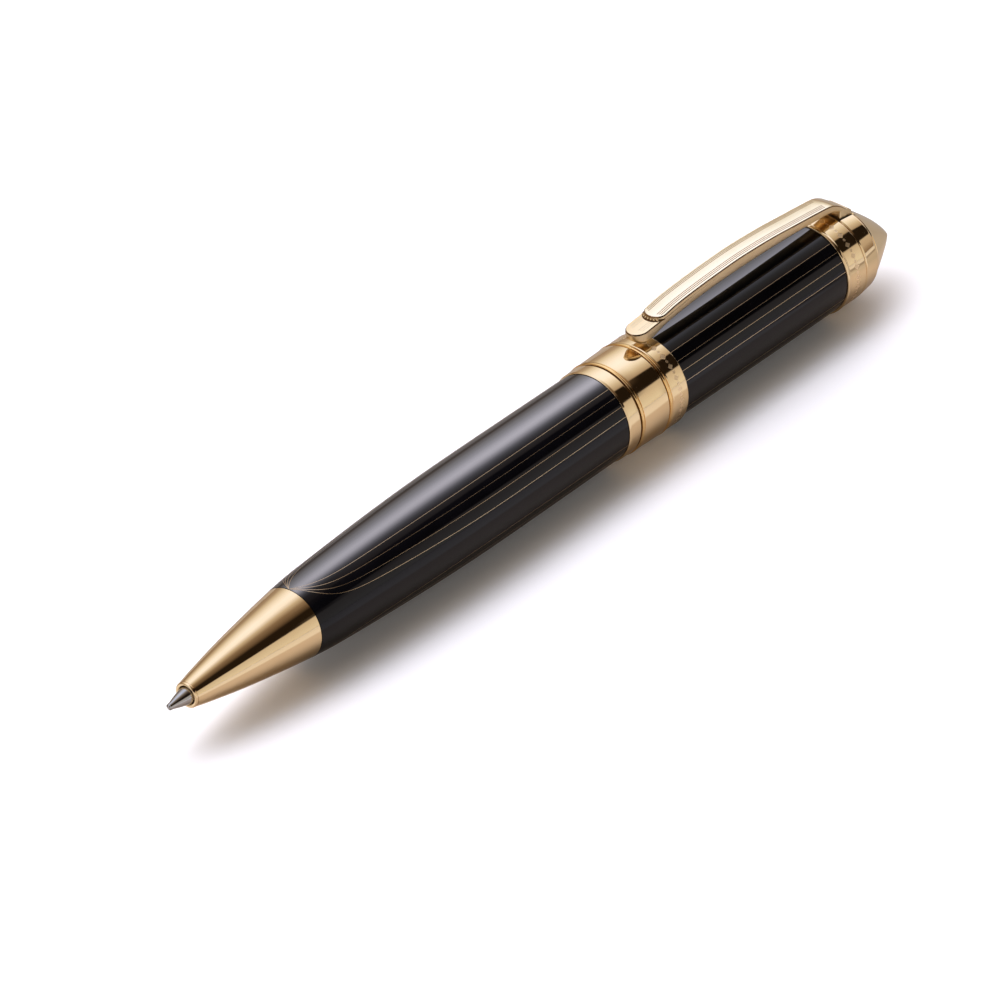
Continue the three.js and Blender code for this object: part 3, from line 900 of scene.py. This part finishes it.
def clip_ring():
    """Engraved ring with a raised lip over the end of the barrel."""
    engraved_ring("clip_band", "clip_ring", 3.25,
                  [(119.3, 5.95, 0.05), (119.35, 6.2, 0.12), (119.62, 6.25, 0.12), (119.85, 6.16, 0.08),
                   (122.85, 6.2, 0.05), (123.05, 6.08, 0.05)],
                  121.3, 31.0)


def crown_ring():
    """Tapering crown with the notch that the clip's foot stands in."""
    outline = [(123.1, 6.05, 0.04), (123.22, 6.19, 0.08), (125.72, 5.9, 0.25), (125.98, 5.64, 0.08)]
    profile = rounded([(123.1, 1.56, 0), *outline, (125.98, 1.56, 0)], 8)
    bm = turned_mesh([(p[0], p[1]) for p in profile])
    crown = finish_mesh("crown", bm, GOLD)
    notch = cutter("notch", (0.0040, 0.0035, 0.005), side_point(124.15, 0, 5.85), 0.00025)
    cut_away(crown, [notch])
    place(crown, "upper_half", "crown_ring", "gold_trim")


def finial():
    """Round base drawn up into a short ridge across the clip's plane, with a crease down each end."""
    base_s, base_r, rim = 126.16, 5.6, 0.12
    ridge_s, ridge_half, ridge_drop = 132.78, 2.45, 0.12
    crease = math.radians(75)
    belly = 1.22
    levels, steps = 40, 240
    bm = bmesh.new()

    def circle(s, radius):
        return [bm.verts.new(point(s, radius, 2 * math.pi * k / steps)) for k in range(steps)]

    rings = [circle(129.2, 1.6), circle(base_s - rim, 1.6), circle(base_s - rim, base_r - 0.14)]
    for level in range(levels + 1):
        t = level / levels
        ring = []
        for k in range(steps):
            angle = 2 * math.pi * k / steps
            reach = max(-1.0, min(1.0, math.sin(angle) / math.sin(crease)))
            across = -ridge_half * reach
            top_s = ridge_s - ridge_drop * across ** 2
            y = -base_r * math.sin(angle) * (1 - t) + across * t
            z = base_r * math.cos(angle) * (1 - t)
            s = base_s + (top_s - base_s) * (1 - (1 - t) ** belly)
            ring.append(bm.verts.new(side_point(s, y, z)))
        rings.append(ring)
    for first, second in zip(rings, rings[1:]):
        for k in range(steps):
            nxt = (k + 1) % steps
            bm.faces.new((first[k], first[nxt], second[nxt], second[k]))
    bm.faces.new(rings[0])
    bmesh.ops.remove_doubles(bm, verts=bm.verts, dist=0.000002)
    bmesh.ops.dissolve_degenerate(bm, dist=0.000001, edges=bm.edges)
    obj = finish_mesh("finial_cap", bm, GOLD, math.radians(14))
    place(obj, "upper_half", "finial", "gold_trim")


# ---- the clip ----
LEAF_TOP = [(87.4, 9.2), (88.6, 9.36), (91, 9.75), (95, 10.05), (100, 10.24), (104, 10.27), (110, 9.98),
            (115, 9.5), (119, 9.1), (121.6, 8.74), (123.2, 8.05), (124.5, 7.1), (125.5, 6.25),
            (125.9, 5.9)]
CLIP_UNDER = [(83.7, 7.75), (84.1, 7.3), (84.7, 7.04), (85.6, 6.95), (86.6, 6.99), (87.6, 7.3),
              (88.8, 7.62), (91, 7.93), (95, 8.28), (100, 8.45), (106, 8.42), (112, 8.2),
              (118.7, 7.8), (121.5, 7.5), (123.3, 6.9), (125.9, 5.4)]
LEAF_GROOVES = (0.64, 0.88, 1.12)
PAD_GROOVES = (0.45, 0.70, 0.95)


def bar_outline(front, back, nose, half, bevel):
    """Pairs of station and half width down one side of a bar: its edge, and the same set in by bevel."""
    lengthwise = 130
    outline = []
    for k in range(21):
        turn = math.pi / 2 * k / 20
        s = front + nose * (1 - math.cos(turn))
        across = half * math.sin(turn)
        normal = Vector((-math.cos(turn) / nose, math.sin(turn) / half)).normalized()
        outline.append((s, across, s - normal.x * bevel, across - normal.y * bevel))
    straight = front + nose
    for k in range(1, lengthwise + 1):
        s = straight + (back - straight) * k / lengthwise
        outline.append((s, half, s, half - bevel))
    return outline


def bar_columns(half, bevel, grooves, groove_half):
    """The places across a bar's top where its mesh has lines, closer together at the grooves."""
    places = {0.0, -1.0, 1.0}
    for k in range(-8, 9):
        places.add(round(half * k / 8.5, 4))
    for g in grooves:
        for sign in (-1, 1):
            for offset in (-1.35, -1, 0, 1, 1.35):
                places.add(round(sign * g + offset * groove_half, 4))
    columns = sorted(y for y in places if abs(y) < half - bevel - 0.01)
    return [-half, *columns, half]


def bar_layer(name, front, back, nose, half, top, under, bottom_round, crown, grooves, groove_ends):
    """A long bar with a rounded front end, bevelled top edges and fine grooves along its top.

    nose is how far the rounded front reaches back; top and under give heights by station.
    """
    bevel = 0.11
    groove_half, groove_depth = 0.05, 0.008
    outline = bar_outline(front, back, nose, half, bevel)
    columns = bar_columns(half, bevel, grooves, groove_half)

    def in_groove(s, y):
        """True on the floor of a groove."""
        starts = groove_ends[0] + 0.45 * max(0.0, abs(y) - 0.4)
        if not starts < s < groove_ends[1]:
            return False
        return any(abs(abs(y) - g) < groove_half * 0.99 for g in grooves)

    bm = bmesh.new()
    rows = []
    for s, across, inner_s, inner in outline:
        inner = max(inner, 0.0)
        high = radius_at(top, s)
        low = min(radius_at(under, s), high - 0.15)
        inset = min(bottom_round, across * 0.6)
        lift = min(bottom_round, (high - low) * 0.6)
        sides = [(across, high - bevel), (across, low + lift), (across - inset * 0.13, low + lift * 0.5),
                 (across - inset * 0.5, low + lift * 0.13), (across - inset, low)]
        row = []
        for y in columns:
            y = max(-inner, min(inner, y))
            h = radius_at(top, inner_s) - crown * (y / half) ** 2
            if in_groove(inner_s, y):
                h -= groove_depth
            row.append(side_point(inner_s, y, h))
        row += [side_point(s, y, h - crown) for y, h in sides[:1]]
        row += [side_point(s, y, h) for y, h in sides[1:]]
        row += [side_point(s, -y, h) for y, h in reversed(sides[1:])]
        row += [side_point(s, -y, h - crown) for y, h in sides[:1]]
        rows.append([bm.verts.new(p) for p in row])
    size = len(rows[0])
    top_faces = len(columns) - 1
    for first, second in zip(rows, rows[1:]):
        for k in range(size):
            nxt = (k + 1) % size
            face = bm.faces.new((first[k], first[nxt], second[nxt], second[k]))
            if top_faces < k < size - 1:
                face.material_index = 1
            # The bevel faces take the fourth material, a dark gold painted as reflection.
            if k in (top_faces, size - 1):
                face.material_index = 3
            # Groove floors take the third material: on the leaf, dark gold as painted shade.
            if k < top_faces:
                middle = face.calc_center_median()
                if in_groove(station(middle.x), middle.y / MM):
                    face.material_index = 2
    bm.faces.new(rows[0])
    bm.faces.new(rows[-1])
    bmesh.ops.remove_doubles(bm, verts=bm.verts, dist=0.0000015)
    bmesh.ops.dissolve_degenerate(bm, dist=0.000001, edges=bm.edges)
    # The top first takes the lighter gold of painted highlight; the pad swaps in the plain gold.
    obj = finish_mesh(name, bm, GOLD_LEAF_HIGHLIGHT, math.radians(30))
    for material in (GOLD_SATIN_SHADED, GOLD_GROOVE_SHADE, GOLD_EDGE_DARK_REFLECTION):
        obj.data.materials.append(material)
    return obj


def clip():
    """The clip: a leaf over a stepped pad at the front, and a foot in the crown's notch."""
    leaf_under = [(87.4, 8.7), (89, 8.85), (91, 9.05), (95, 9.4), (104, 9.6), (112, 9.3), (121.5, 8.1),
                  (125.9, 5.5)]
    leaf = bar_layer("clip_leaf", 87.4, 125.9, 1.5, 1.5, LEAF_TOP, leaf_under, 0.0, 0.12,
                     LEAF_GROOVES, (88.1, 120.9))
    place(leaf, "clip", "clip", "gold_trim")
    body_top = [(83.7, 8.42), (85.5, 8.62), (87.5, 8.8), (89.5, 9.0), (92, 9.25), (95, 9.55), (104, 9.8),
                (112, 9.5), (121.5, 8.3), (125.9, 5.6)]
    pad = bar_layer("clip_body", 83.7, 125.7, 1.8, 1.485, body_top, CLIP_UNDER, 0.4, 0.08,
                    PAD_GROOVES, (84.8, 87.6))
    pad.data.materials[0] = GOLD
    pad.data.materials[2] = GOLD_SATIN_SHADED
    place(pad, "clip", None, "gold_trim")
    clip_beads()
    clip_foot()


def clip_beads():
    """A dark crescent of painted shade under the leaf's rounded front, with its row of tiny beads."""
    leaf_front, radius, pad_height, reach = 87.4, 1.5, 8.80, 0.42
    tuck, thickness, lift, squash = 0.1, 0.15, 0.03, 0.97
    steps = 40
    middle = leaf_front + radius
    bm = bmesh.new()
    rows = []
    for k in range(steps + 1):
        turn = math.radians(-84 + 168 * k / steps)
        out = radius + reach * math.cos(turn)
        section = [(radius - tuck, pad_height + lift), (out, pad_height + 0.01),
                   (out, pad_height - thickness), (radius - tuck, pad_height - thickness)]
        rows.append([bm.verts.new(side_point(middle - r * math.cos(turn), r * math.sin(turn) * squash, h))
                     for r, h in section])
    for first, second in zip(rows, rows[1:]):
        for k in range(4):
            nxt = (k + 1) % 4
            bm.faces.new((first[k], first[nxt], second[nxt], second[k]))
    bm.faces.new(rows[0])
    bm.faces.new(rows[-1])
    # The crescent is a thin dark gold sheet on the pad: painted shade.
    place(finish_mesh("clip_painted_shade_strip", bm, GOLD_SHADE), "clip", None, "gold_trim")
    bm = bmesh.new()
    row_radius, bead_height, bead_radius = radius + 0.14, pad_height + 0.06, 0.15 * MM
    for k in range(7):
        turn = math.radians(-42 + 14 * k)
        s = middle - row_radius * math.cos(turn)
        spot = Matrix.Translation(side_point(s, row_radius * math.sin(turn), bead_height))
        bmesh.ops.create_uvsphere(bm, u_segments=16, v_segments=10, radius=bead_radius, matrix=spot)
    place(finish_mesh("clip_beads", bm, GOLD, math.radians(60)), "clip", None, "gold_trim")


def clip_foot():
    """The foot that goes down into the notch. It is drawn solid, without the hole for its pin."""
    outline = [(123.45, 7.0), (123.4, 4.7), (123.6, 4.05), (124.6, 4.0), (125.7, 4.4), (125.85, 6.1),
               (125.2, 6.7)]
    bm = bmesh.new()
    left = [bm.verts.new(side_point(s, -1.48, h)) for s, h in outline]
    right = [bm.verts.new(side_point(s, 1.48, h)) for s, h in outline]
    bm.faces.new(left)
    bm.faces.new(list(reversed(right)))
    count = len(outline)
    for k in range(count):
        nxt = (k + 1) % count
        bm.faces.new((left[k], left[nxt], right[nxt], right[k]))
    bmesh.ops.recalc_face_normals(bm, faces=bm.faces)
    bmesh.ops.bevel(bm, geom=bm.edges[:], offset=0.0001, segments=3, profile=0.5, affect="EDGES")
    foot = finish_mesh("clip_foot", bm, GOLD_SATIN_SHADED)
    place(foot, "clip", None, "gold_trim")


# ---- everything ----

def finish_inner_nodes():
    """Gives the CAD nodes that stay as they are their real finishes."""
    looks = {
        "refill_end_plug": PLASTIC, "friction_ring": RUBBER, "cam_sleeve": BRASS, "follower": PLASTIC,
        "follower_pin": STEEL, "mechanism_end_cap": BRASS, "finial_stud": STEEL,
        "clip_pivot_pin": STEEL, "clip_leaf_spring": SPRING_STEEL,
    }
    for node, material in looks.items():
        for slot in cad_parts[node].material_slots:
            slot.material = material


make_camera()
make_world()
table = make_floor()
bpy.context.scene.view_settings.view_transform = "Standard"

writing_ball()
refill_tip()
refill_tube()
return_spring()
nose_cone()
lower_body = lower_barrel()
lower_pinstripes()
front_trim_ring()
thread_bush()
turning_washer()
mechanism_housing()
centre_rings()
upper_body = upper_barrel()
upper_pinstripes()
inner_sleeves()
clip_ring()
crown_ring()
finial()
clip()
finish_inner_nodes()
soft_box("table_key", 18, [table])
front_fill(0.6, [table])
soft_box("lacquer_key", 50, [lower_body])
soft_box("upper_lacquer_key", 26, [upper_body])
